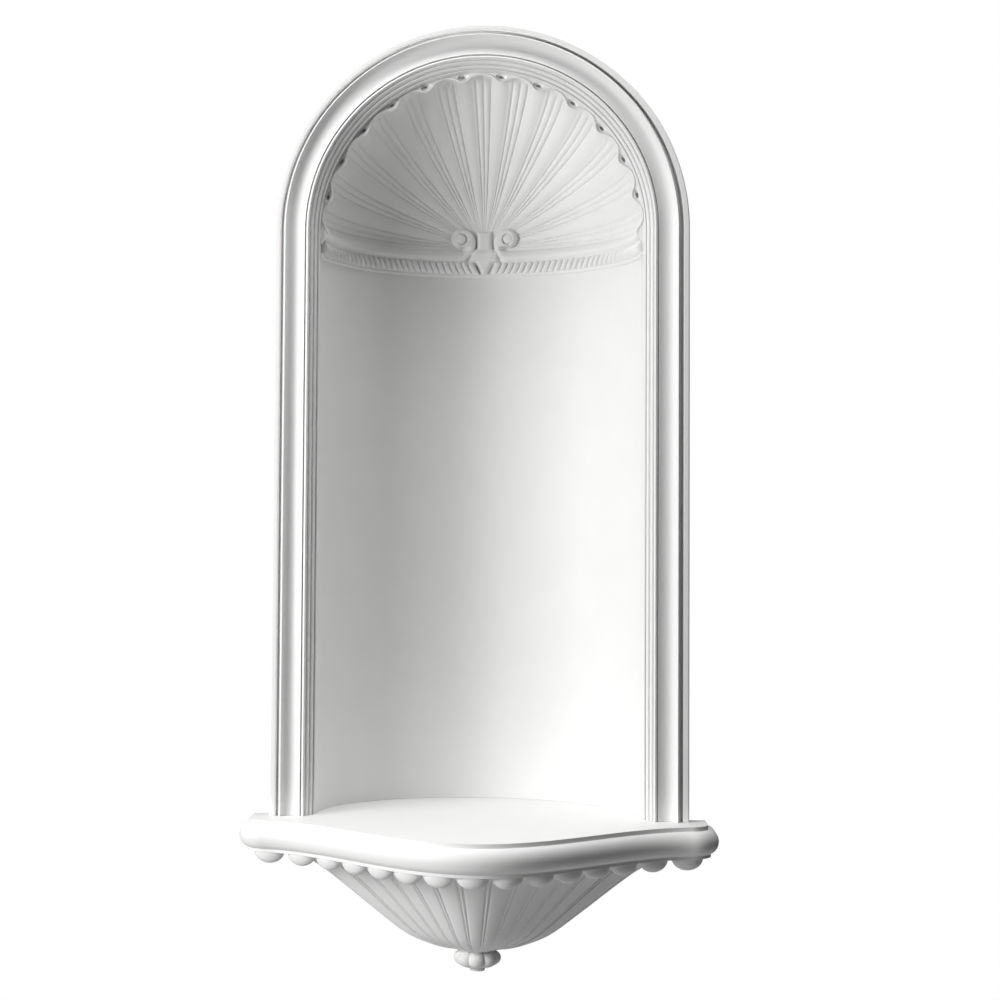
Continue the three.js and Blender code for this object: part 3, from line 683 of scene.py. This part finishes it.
@dataclass(frozen=True)
class Volutes:
    """The pair of scrolls at the shell's hinge and the smooth web between them, as a relief.

    The web's side is given by rises above the springing and half widths. Its tip is lower than
    the rest, and a soft ground joins it to the straps' inner ends. The channel is its middle's
    distance from the eye's centre, its width and its depth.
    """

    eye_offset: float = 37.8
    eye_rise: float = 25.6
    eye_radius: float = 7.0
    eye_dome: float = 2.0
    core: float = 11.4
    spread: float = 22.2
    decay_deg: float = 148.0
    projection: float = 13.0
    rounding: float = 7.0
    blend_deg: float = 60.0
    channel: tuple[float, float, float] = (8.1, 1.0, 4.5)
    channel_deg: Turns = (-50.0, 220.0)
    channel_fade_deg: Turns = (30.0, 60.0)
    web_side: tuple[tuple[float, float], ...] = (
        (-31, 4),
        (-20, 8.5),
        (-10, 14),
        (-5, 17),
        (4, 18),
        (12, 12.8),
        (16, 12.4),
        (40, 12.4),
    )
    web_projection: float = 10.5
    web_hollow: float = 1.2
    web_rounding: float = 8.0
    web_tip_share: float = 0.75
    web_tip: tuple[float, float] = (-18.0, -6.0)
    ground: float = 12.0
    ground_half: tuple[float, float] = (16.0, 30.0)
    ground_foot: tuple[float, float] = (-14.0, -7.0)
    ground_top: tuple[float, float] = (3.0, 18.0)
    softness: float = 5.0
    half_run: float = 62.0
    rises: tuple[float, float] = (-30.0, 46.0)
    steps: tuple[int, int] = (170, 104)

    def _rounded(self, inside: Array, width: float) -> Array:
        """0 at an edge to 1 inside it, along a quarter of an ellipse; falls steeply outside."""
        share = np.clip(inside / width, 0, 1)
        return np.where(inside > 0, np.sqrt(1 - (1 - share) ** 2), np.maximum(inside, -1.0))

    def _merged(self, one: Array, other: Array) -> Array:
        """The higher of two reliefs, with a soft hollow where they meet.

        Where they differ by less than the softness, the squared shortfall over four times the
        softness is added.
        """
        near = np.maximum(self.softness - np.abs(one - other), 0)
        return np.maximum(one, other) + near**2 / (4 * self.softness)

    def scroll(self, across: Array, rise: Array, strap: Array) -> Array:
        """One scroll's projection.

        The turn is counted from under the eye towards the recess's middle. The scroll's edge
        lies at a core radius plus a spread that dies away exponentially with the turn. The face
        is level inside a rounded edge, comes in from the strap's own profile over the first
        turn, and carries a bell-shaped channel round a domed eye.

        Args:
            across: runs from the recess's middle, positive on the scroll's own side.
            rise: rises above the springing.
            strap: the strap's projection at the same rises.

        Returns:
            Projections from the wall, below zero outside the scroll.
        """
        x, z = across - self.eye_offset, rise - self.eye_rise
        away = np.hypot(x, z)
        turned = np.degrees(np.arctan2(-x, -z)) % 360
        edge = self.core + self.spread * np.exp(-turned / self.decay_deg)
        face = self.projection * self._rounded(edge - away, self.rounding)
        joined = smooth_step(turned, 0, self.blend_deg)
        below = (x <= 0) & (z < -self.core)
        face = np.where(below, joined * face + (1 - joined) * np.maximum(strap, -1), face)
        middle, width, depth = self.channel
        signed = (turned + 180) % 360 - 180
        late = np.where(signed < self.channel_deg[0], signed + 360, signed)
        (begin, end), (fade_in, fade_out) = self.channel_deg, self.channel_fade_deg
        first = smooth_step(late, begin, begin + fade_in)
        last = 1 - smooth_step(late, end - fade_out, end)
        groove = depth * np.exp(-(((away - middle) / width) ** 2)) * first * last
        eye = self.eye_dome * np.sqrt(np.maximum(0, 1 - (away / self.eye_radius) ** 2))
        return face - groove + eye

    def relief_body(self, band: SpringingBand) -> Body:
        """Both scrolls, the straps' inner ends and the web, drawn as one relief on the wall."""
        run = np.linspace(-self.half_run, self.half_run, self.steps[0] + 1)[:, None]
        rise = np.linspace(*self.rises, self.steps[1] + 1)[None]
        line = np.array(band.strap)
        strap = np.interp(rise, line[:, 0], line[:, 1], left=-PLACES.embed, right=-PLACES.embed)
        side_line = np.array(self.web_side)
        half = np.interp(rise, side_line[:, 0], side_line[:, 1])
        share = np.clip(np.abs(run) / half, 0, 1)
        within = np.minimum(side_line[-1, 0] - rise, rise - side_line[0, 0])
        inside = np.minimum(half - np.abs(run), within)
        web = self.web_projection * self._rounded(inside, self.web_rounding)
        web = web - self.web_hollow * (1 - share**2) * (inside > 0)
        tip = self.web_tip_share + (1 - self.web_tip_share) * smooth_step(rise, *self.web_tip)
        web = np.where(web > 0, web * tip, web)
        ground = self.ground * (1 - smooth_step(np.abs(run), *self.ground_half))
        ground = ground * smooth_step(rise, *self.ground_foot)
        ground = ground * (1 - smooth_step(rise, *self.ground_top)) - PLACES.embed / 2
        outer = np.where(np.abs(run) >= self.eye_offset, strap, -PLACES.embed)
        forms = [self.scroll(side.value * run, rise, strap) for side in Side]
        height = reduce(self._merged, [web, outer, ground, *forms])
        height = np.maximum(height, -PLACES.embed)
        front = band.on_wall(run, height, PLACES.springing + rise)
        ends = np.array([[self.rises[1], self.rises[0]]]) + PLACES.springing
        back = band.on_wall(run, np.float64(-2 * PLACES.embed), ends)
        return loft(np.concatenate([front, back], axis=1))


# Console shelf


@dataclass(frozen=True)
class ShelfPlan:
    """The shelf's plan: a serpentine front, rounded corners and ends back to the wall."""

    half_width: float = 325.0
    mean_depth: float = 154.0
    bow: float = 88.0
    front_reach: float = 300.0
    front_steps: int = 3000
    corner_steps: int = 399
    end_steps: int = 599

    def half_line(self) -> tuple[Array, Array, Array]:
        """Half of the plan as dense runs, points and unit headings, from the middle."""
        x = np.linspace(0, self.front_reach, self.front_steps + 1)
        wave = np.pi * x / self.half_width
        front = np.stack([x, -(self.mean_depth + self.bow * np.cos(wave))], axis=1)
        slope = self.bow * np.pi / self.half_width * np.sin(wave)
        heading = math.atan(slope[-1])
        radius = (self.half_width - self.front_reach) / (1 - math.sin(heading))
        centre = front[-1] + radius * np.array([-math.sin(heading), math.cos(heading)])
        angle = np.linspace(heading - np.pi / 2, 0, self.corner_steps + 1)[1:]
        corner = centre + radius * np.stack([np.cos(angle), np.sin(angle)], axis=1)
        depth = np.linspace(corner[-1, 1], 0, self.end_steps + 1)[1:]
        end = np.stack([np.full_like(depth, self.half_width), depth], axis=1)
        points = np.concatenate([front, corner, end])
        headings = np.concatenate([np.arctan(slope), angle + np.pi / 2, np.full(len(end), np.pi / 2)])
        steps = np.linalg.norm(np.diff(points, axis=0), axis=1)
        runs = np.concatenate([[0], np.cumsum(steps)])
        return runs, points, np.stack([np.cos(headings), np.sin(headings)], axis=1)

    def stations(self, run: Array) -> tuple[Array, Array]:
        """Points and outward normals at runs from the middle, negative to the left."""
        runs, points, along = self.half_line()
        away, side = np.abs(run), np.where(run < 0, -1.0, 1.0)
        point = np.stack([np.interp(away, runs, points[:, k]) for k in (0, 1)], axis=1)
        heading = np.stack([np.interp(away, runs, along[:, k]) for k in (0, 1)], axis=1)
        point[:, 0] *= side
        return point, np.stack([side * heading[:, 1], -heading[:, 0]], axis=1)

    @property
    def length(self) -> float:
        """The run from the middle to the wall."""
        return float(self.half_line()[0][-1])


@dataclass(frozen=True)
class ConsoleShelf:
    """The console: moulded edge, eggs, fluted bowl, pendant and the recess's floor.

    The bowl's pairs are a drop below the shelf's top and a half width. The knob's section is a
    share of a half turn, and the roundings are powers that make a curve fuller.
    """

    plan: ShelfPlan = ShelfPlan()
    top_fillet: float = 6.0
    torus_height: float = 34.0
    torus_projection: float = 15.0
    under_fillet: tuple[float, float] = (4.0, 4.0)
    tongue_thickness: float = 24.0
    egg_count: int = 15
    egg_pitch: float = 49.8
    egg_half: tuple[float, float, float] = (22.5, 13.0, 17.0)
    egg_inset: float = 10.0
    bowl_line: tuple[tuple[float, float], ...] = (
        (44, 271),
        (63.6, 232),
        (87, 200),
        (131.2, 146),
        (164.4, 103),
        (181.1, 66),
        (187, 44),
    )
    flute_count: int = 15
    flute_swell: float = 3.0
    flute_groove: float = 6.0
    flute_groove_place: float = 0.085
    flute_groove_share: float = 0.03
    separator_share: float = 0.05
    separator_rise: float = 1.6
    pendant_neck: float = 29.0
    pendant_radius: float = 34.0
    pendant_height: float = 27.0
    pendant_lobes: int = 8
    pendant_lobe_depth: float = 0.13
    pendant_lobe_rounding: float = 0.7
    pendant_share: tuple[float, float] = (0.22, 0.9)
    pendant_rounding: float = 0.6
    boss: tuple[float, float] = (12.0, 5.0)
    boss_taper: float = 0.9
    columns_per_flute: int = 32
    torus_steps: int = 20
    bowl_levels: int = 56
    pendant_columns: int = 128
    pendant_levels: int = 24
    egg_levels: int = 16
    egg_sides: int = 28
    egg_pole: float = 0.02
    floor_steps: int = 96

    def _stations(self) -> tuple[Array, Array, Array, Array]:
        """Points, normals, flute places and shares of the run from wall to wall."""
        share = np.linspace(-1, 1, self.flute_count * self.columns_per_flute + 1)
        point, outward = self.plan.stations(share * self.plan.length)
        place = (share + 1) / 2 * self.flute_count % 1
        return point, outward, place, share

    def edge_rings(self) -> Array:
        """The shelf's edge: top fillet, half-round torus and the small fillet under it."""
        point, outward, _, share = self._stations()
        height = self.torus_height
        middle = PLACES.shelf_top - self.top_fillet - height / 2
        angle = np.linspace(np.pi / 2, -np.pi / 2, self.torus_steps + 1)
        bulge = self.torus_projection * np.cos(angle)
        under, under_out = self.under_fillet
        bulge = np.where(angle < 0, np.maximum(under_out, bulge), bulge)
        offset = np.concatenate([[0], [0], bulge[1:], [under_out]])
        level = np.concatenate([[PLACES.shelf_top], middle + height / 2 * np.sin(angle)])
        level = np.concatenate([level, [middle - height / 2 - under]])
        x = point[:, 0] + outward[:, 0] * offset[:, None]
        y = np.minimum(0, point[:, 1] + outward[:, 1] * offset[:, None])
        y = np.where(np.abs(share) == 1, 0, y)
        return np.stack([x, y, np.broadcast_to(level[:, None], x.shape)], axis=-1)

    def bowl_profile(self) -> Array:
        """Drops and half widths of the bowl on a smooth curve through its named pairs."""
        knots = np.array(self.bowl_line)
        t = np.linspace(0, len(knots) - 1, self.bowl_levels + 1)
        base = np.minimum(t.astype(int), len(knots) - 2)
        w = (t - base)[:, None]
        held = [knots[np.clip(base + step, 0, len(knots) - 1)] for step in (-1, 0, 1, 2)]
        first, last = (held[2] - held[0]) / 2, (held[3] - held[1]) / 2
        cubic = (2 * held[1] - 2 * held[2] + first + last) * w**3
        square = (-3 * held[1] + 3 * held[2] - 2 * first - last) * w**2
        return cubic + square + first * w + held[1]

    def flute_relief(self, place: Array) -> Array:
        """The flutes' section across the bowl.

        A flute swells as the sine of its place. A narrow fillet stands between neighbours, with
        a bell-shaped groove on either side of it.
        """
        away = np.minimum(place, 1 - place)
        groove = np.exp(-(((away - self.flute_groove_place) / self.flute_groove_share) ** 2))
        fillet = np.clip(1 - (away / self.separator_share) ** 2, 0, 1)
        carved = self.flute_swell * np.sin(np.pi * place) - self.flute_groove * groove
        return carved + self.separator_rise * fillet

    def bowl_rings(self) -> Array:
        """The fluted bowl: the plan drawn in to each half width and carved."""
        point, outward, place, share = self._stations()
        profile = self.bowl_profile()
        scale = (profile[:, 1] / self.plan.half_width)[:, None]
        offset = np.where(np.abs(share) == 1, 0, self.flute_relief(place) * scale)
        x = point[:, 0] * scale + outward[:, 0] * offset
        y = np.minimum(0, point[:, 1] * scale + outward[:, 1] * offset)
        level = np.broadcast_to(PLACES.shelf_top - profile[:, :1], x.shape)
        return np.stack([x, y, level], axis=-1)

    def shelf_body(self) -> Body:
        """The edge and the bowl as one body."""
        return loft(np.concatenate([self.edge_rings(), self.bowl_rings()]))

    def pendant(self) -> Body:
        """The gadrooned knob under the bowl, with its neck and boss."""
        top = PLACES.shelf_top - self.bowl_line[-1][0]
        angle = np.pi * (np.linspace(0, 1, self.pendant_columns + 1) - 0.5)
        lobe = np.abs(np.cos(angle * self.pendant_lobes / 2)) ** self.pendant_lobe_rounding
        swell = np.pi * np.linspace(*self.pendant_share, self.pendant_levels + 1)
        radius = self.pendant_radius * np.sin(swell) ** self.pendant_rounding
        drop = self.pendant_height * (1 - np.cos(swell)) / 2
        boss_radius, boss_height = self.boss
        boss_radii = [boss_radius, boss_radius * self.boss_taper]
        radius = np.concatenate([[self.pendant_neck], radius, boss_radii])
        bottom = self.pendant_height
        drop = np.concatenate([[-PLACES.embed], drop, [bottom, bottom + boss_height]])
        cut = np.concatenate([[0], np.full(len(swell), self.pendant_lobe_depth), [0, 0]])
        reach = radius[:, None] * (1 - cut[:, None] * (1 - lobe))
        depth = np.where(np.abs(angle) == np.pi / 2, 0, -reach * np.cos(angle))
        level = np.broadcast_to((top - drop)[:, None], reach.shape)
        return loft(np.stack([reach * np.sin(angle), depth, level], axis=-1))

    def eggs(self) -> list[Body]:
        """The ovals under the shelf's edge, at even runs along it."""
        reach = (self.egg_count - 1) / 2
        run = np.linspace(-reach, reach, self.egg_count) * self.egg_pitch
        point, outward = self.plan.stations(run)
        soffit = PLACES.shelf_top - self.top_fillet - self.torus_height - self.under_fillet[0]
        turn = np.linspace(self.egg_pole, np.pi - self.egg_pole, self.egg_levels + 1)[:, None]
        around = np.linspace(0, 2 * np.pi, self.egg_sides, endpoint=False)
        wide, deep, drop = self.egg_half
        along = wide * np.sin(turn) * np.cos(around)
        out = deep * np.sin(turn) * np.sin(around)
        level = np.broadcast_to(soffit + drop * np.cos(turn), along.shape)
        bodies = []
        for (x, y), (out_x, out_y) in zip(point - outward * self.egg_inset, outward):
            egg_x = x + out_x * out - out_y * along
            egg_y = y + out_y * out + out_x * along
            bodies.append(loft(np.stack([egg_x, egg_y, level], axis=-1)))
        return bodies

    def tongue(self) -> Body:
        """The tongue that carries the recess's wall and makes its floor."""
        plan = PLACES.half_oval(PLACES.wall_thickness, PLACES.cut_margin, self.floor_steps)
        return extruded(plan, PLACES.shelf_top - self.tongue_thickness, PLACES.shelf_top)


# Finish


@dataclass(frozen=True)
class PrimedFoam:
    """White primer on moulded polyurethane: matt, faintly mottled, with a fine grain."""

    name: str
    base: tuple[float, float, float] = (0.86, 0.86, 0.855)
    mottle: tuple[float, float, float] = (0.82, 0.82, 0.815)
    mottle_scale: float = 14.0
    mottle_detail: float = 4.0
    roughness: float = 0.58
    roughness_swing: float = 0.06
    grain_scale: float = 900.0
    grain_height: float = 0.00004
    specular: float = 0.35

    def material(self) -> bpy.types.Material:
        """Builds the node material on the piece's own coordinates."""
        made = bpy.data.materials.new(self.name)
        made.use_nodes = True
        nodes, links = made.node_tree.nodes, made.node_tree.links
        shader = nodes["Principled BSDF"]
        where = nodes.new("ShaderNodeTexCoord")
        cloud = nodes.new("ShaderNodeTexNoise")
        cloud.inputs["Scale"].default_value = self.mottle_scale
        cloud.inputs["Detail"].default_value = self.mottle_detail
        links.new(where.outputs["Object"], cloud.inputs["Vector"])
        blend = nodes.new("ShaderNodeMix")
        blend.data_type = "RGBA"
        blend.inputs["A"].default_value = (*self.base, 1)
        blend.inputs["B"].default_value = (*self.mottle, 1)
        links.new(cloud.outputs["Fac"], blend.inputs["Factor"])
        links.new(blend.outputs["Result"], shader.inputs["Base Color"])
        sheen = nodes.new("ShaderNodeMapRange")
        sheen.inputs["To Min"].default_value = self.roughness - self.roughness_swing
        sheen.inputs["To Max"].default_value = self.roughness + self.roughness_swing
        links.new(cloud.outputs["Fac"], sheen.inputs["Value"])
        links.new(sheen.outputs["Result"], shader.inputs["Roughness"])
        grain = nodes.new("ShaderNodeTexNoise")
        grain.inputs["Scale"].default_value = self.grain_scale
        links.new(where.outputs["Object"], grain.inputs["Vector"])
        bump = nodes.new("ShaderNodeBump")
        bump.inputs["Distance"].default_value = self.grain_height
        links.new(grain.outputs["Fac"], bump.inputs["Height"])
        links.new(bump.outputs["Normal"], shader.inputs["Normal"])
        shader.inputs["Specular IOR Level"].default_value = self.specular
        return made


def dress(piece: bpy.types.Object, finish: PrimedFoam, node: str) -> None:
    """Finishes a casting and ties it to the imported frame.

    Args:
        piece: the casting.
        finish: its primer.
        node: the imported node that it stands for.
    """
    piece.data.materials.clear()
    piece.data.materials.append(finish.material())
    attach(piece, "root")
    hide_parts(node)


@dataclass(frozen=True)
class NicheBody:
    """The upper casting: architrave, recess, shell hood and springing ornament."""

    architrave: Architrave = Architrave()
    recess: ShellRecess = ShellRecess()
    band: SpringingBand = SpringingBand()
    volutes: Volutes = Volutes()

    def build(self) -> bpy.types.Object:
        """Casts the piece and dresses it."""
        casting = Casting("niche_casting")
        casting.apply(Cut.JOIN, self.architrave.body(), *self.recess.outside())
        casting.apply(Cut.REMOVE, self.recess.arch_clearance())
        casting.apply(Cut.REMOVE, self.recess.wall_hollow(), self.recess.hood_hollow())
        casting.apply(Cut.JOIN, self.recess.lip(), *self.recess.tails())
        casting.apply(Cut.REMOVE, self.recess.pockets())
        casting.apply(Cut.JOIN, self.band.fillet_body(), *self.band.straps(self.volutes.eye_offset))
        casting.apply(Cut.JOIN, *(self.band.reeds(side) for side in Side))
        casting.apply(Cut.JOIN, self.volutes.relief_body(self.band))
        piece = casting.cast()
        dress(piece, PrimedFoam("primer_on_niche"), "niche_body")
        return piece


@dataclass(frozen=True)
class Console:
    """The lower casting."""

    shelf: ConsoleShelf = ConsoleShelf()

    def build(self) -> bpy.types.Object:
        """Casts the piece and dresses it."""
        casting = Casting("console_casting")
        casting.apply(Cut.JOIN, self.shelf.shelf_body(), self.shelf.pendant())
        casting.apply(Cut.JOIN, *self.shelf.eggs(), self.shelf.tongue())
        piece = casting.cast()
        dress(piece, PrimedFoam("primer_on_console"), "console_shelf")
        return piece


# Studio


@dataclass(frozen=True)
class Softbox:
    """One square area light that faces the niche."""

    name: str
    azimuth_deg: float
    elevation_deg: float
    distance: float
    size: float
    watts: float
    target: tuple[float, float, float] = (0.0, 0.0, 0.1)

    def place(self) -> bpy.types.Object:
        """Adds the light; azimuth 0 is straight in front, negative to the left."""
        lamp = bpy.data.lights.new(self.name, "AREA")
        lamp.shape = "SQUARE"
        lamp.size = self.size
        lamp.energy = self.watts
        azimuth, elevation = math.radians(self.azimuth_deg), math.radians(self.elevation_deg)
        away = Vector(
            (
                math.sin(azimuth) * math.cos(elevation),
                -math.cos(azimuth) * math.cos(elevation),
                math.sin(elevation),
            )
        )
        made = bpy.data.objects.new(self.name, lamp)
        made.location = Vector(self.target) + self.distance * away
        made.rotation_euler = away.to_track_quat("Z", "Y").to_euler()
        bpy.context.scene.collection.objects.link(made)
        return made


@dataclass(frozen=True)
class Studio:
    """Camera, soft light, white surroundings and a plain pale floor well below."""

    camera_at: tuple[float, float, float] = (0.067, -2.470, 0.447)
    yaw_deg: float = -3.66
    pitch_deg: float = 2.08
    roll_deg: float = 0.4
    lens_mm: float = 61.2
    shift_x: float = 0.0826
    key: Softbox = Softbox("key", -58, 15, distance=2.2, size=0.8, watts=19.7)
    second_key: Softbox = Softbox("second_key", -45, 15, distance=2.2, size=0.8, watts=24.1)
    fill: Softbox = Softbox("fill", 0, 85, distance=2.5, size=1.6, watts=58.6)
    ambient: float = 0.01
    floor_level: float = -1.2
    floor_radius: float = 2.6
    floor_sides: int = 96
    floor_tone: float = 0.8
    floor_roughness: float = 0.9

    def camera(self) -> bpy.types.Object:
        """The camera that matches the photograph's place, heading and lens."""
        yaw, pitch, roll = map(math.radians, (self.yaw_deg, self.pitch_deg, self.roll_deg))
        ahead = Vector(
            (math.sin(yaw) * math.cos(pitch), math.cos(yaw) * math.cos(pitch), math.sin(pitch))
        )
        level = Vector((math.cos(yaw), -math.sin(yaw), 0))
        above = level.cross(ahead)
        right = level * math.cos(roll) + above * math.sin(roll)
        up = above * math.cos(roll) - level * math.sin(roll)
        lens = bpy.data.cameras.new("camera")
        lens.lens = self.lens_mm
        lens.shift_x = self.shift_x
        made = bpy.data.objects.new("camera", lens)
        turn = Matrix((right, up, -ahead)).transposed().to_4x4()
        made.matrix_world = Matrix.Translation(self.camera_at) @ turn
        bpy.context.scene.collection.objects.link(made)
        bpy.context.scene.camera = made
        return made

    def surroundings(self) -> None:
        """White where the camera looks past the object, faint as light on it."""
        world = bpy.data.worlds.new("studio")
        bpy.context.scene.world = world
        world.use_nodes = True
        nodes, links = world.node_tree.nodes, world.node_tree.links
        nodes.clear()
        seen, light = nodes.new("ShaderNodeBackground"), nodes.new("ShaderNodeBackground")
        seen.inputs["Color"].default_value = (1, 1, 1, 1)
        light.inputs["Color"].default_value = (1, 1, 1, 1)
        light.inputs["Strength"].default_value = self.ambient
        path = nodes.new("ShaderNodeLightPath")
        mix = nodes.new("ShaderNodeMixShader")
        out = nodes.new("ShaderNodeOutputWorld")
        links.new(path.outputs["Is Camera Ray"], mix.inputs[0])
        links.new(light.outputs[0], mix.inputs[1])
        links.new(seen.outputs[0], mix.inputs[2])
        links.new(mix.outputs[0], out.inputs["Surface"])

    def floor(self) -> None:
        """A plain pale disc, far enough below to stay out of the photograph's view."""
        angle = np.linspace(0, 2 * np.pi, self.floor_sides, endpoint=False)
        rim = self.floor_radius * np.stack([np.cos(angle), np.sin(angle)], axis=1)
        corners = np.insert(rim, 2, self.floor_level, axis=1)
        mesh = bpy.data.meshes.new("floor")
        mesh.from_pydata(corners.tolist(), [], [list(range(len(corners)))])
        made = bpy.data.objects.new("floor", mesh)
        bpy.context.scene.collection.objects.link(made)
        paint = bpy.data.materials.new("floor_paint")
        paint.use_nodes = True
        shader = paint.node_tree.nodes["Principled BSDF"]
        shader.inputs["Base Color"].default_value = (*[self.floor_tone] * 3, 1)
        shader.inputs["Roughness"].default_value = self.floor_roughness
        mesh.materials.append(paint)

    def set_up(self) -> None:
        """Sets everything that isn't the object."""
        self.camera()
        self.surroundings()
        self.floor()
        for softbox in (self.key, self.second_key, self.fill):
            softbox.place()
        scene = bpy.context.scene
        scene.view_settings.view_transform = "Standard"
        scene.view_settings.look = "None"


def main() -> None:
    """Builds both castings in their studio."""
    logging.basicConfig(level=logging.INFO, format="%(message)s")
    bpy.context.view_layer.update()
    NicheBody().build()
    Console().build()
    Studio().set_up()


if __name__ == "__main__":
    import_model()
    main()
